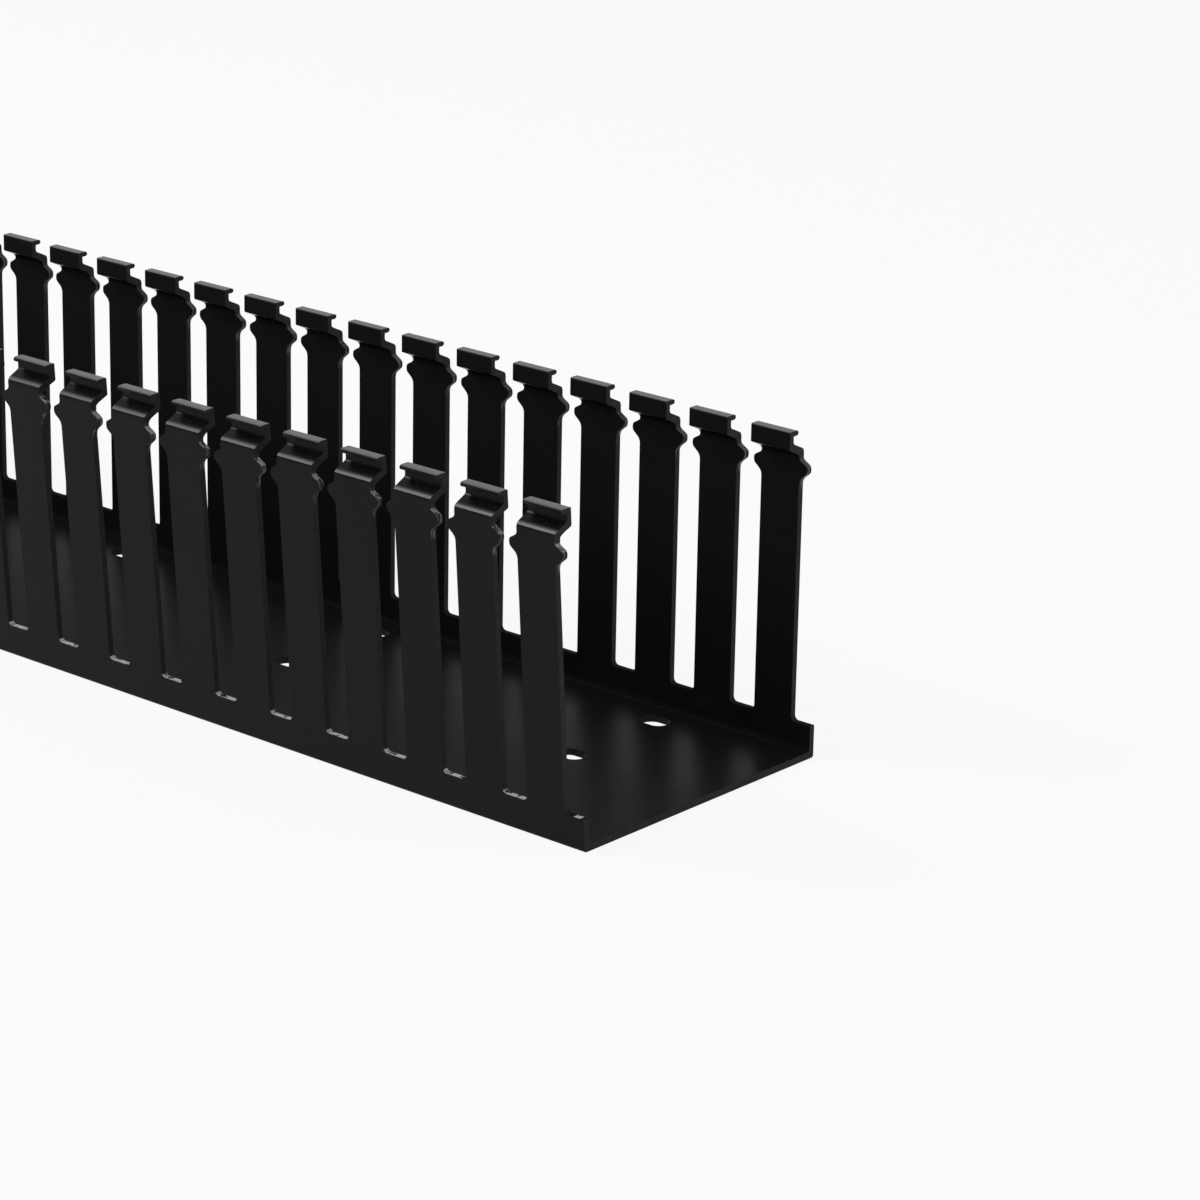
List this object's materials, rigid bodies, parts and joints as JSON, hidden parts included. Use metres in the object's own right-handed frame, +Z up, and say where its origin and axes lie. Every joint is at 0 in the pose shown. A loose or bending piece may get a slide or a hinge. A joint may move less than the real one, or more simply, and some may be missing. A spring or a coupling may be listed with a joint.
{
  "type": "slotted wire duct",
  "caption": "Open-slot wiring duct: a straight plastic channel with punched finger walls, nubbed snap heads for a lid and mounting slots in its floor.",
  "frame": {"origin": "middle of the underside of the floor, half way along the stick", "axes": "+X along the stick towards the end cut through a slot close behind a finger, +Y across the duct, +Z up out of its open side"},
  "size_m": [1, 0.0886, 0.083],
  "materials": {
    "duct": "satin black rigid PVC, extruded and punched"
  },
  "bodies": {
    "root": {"wire_duct": "duct"}
  },
  "joints": []
}
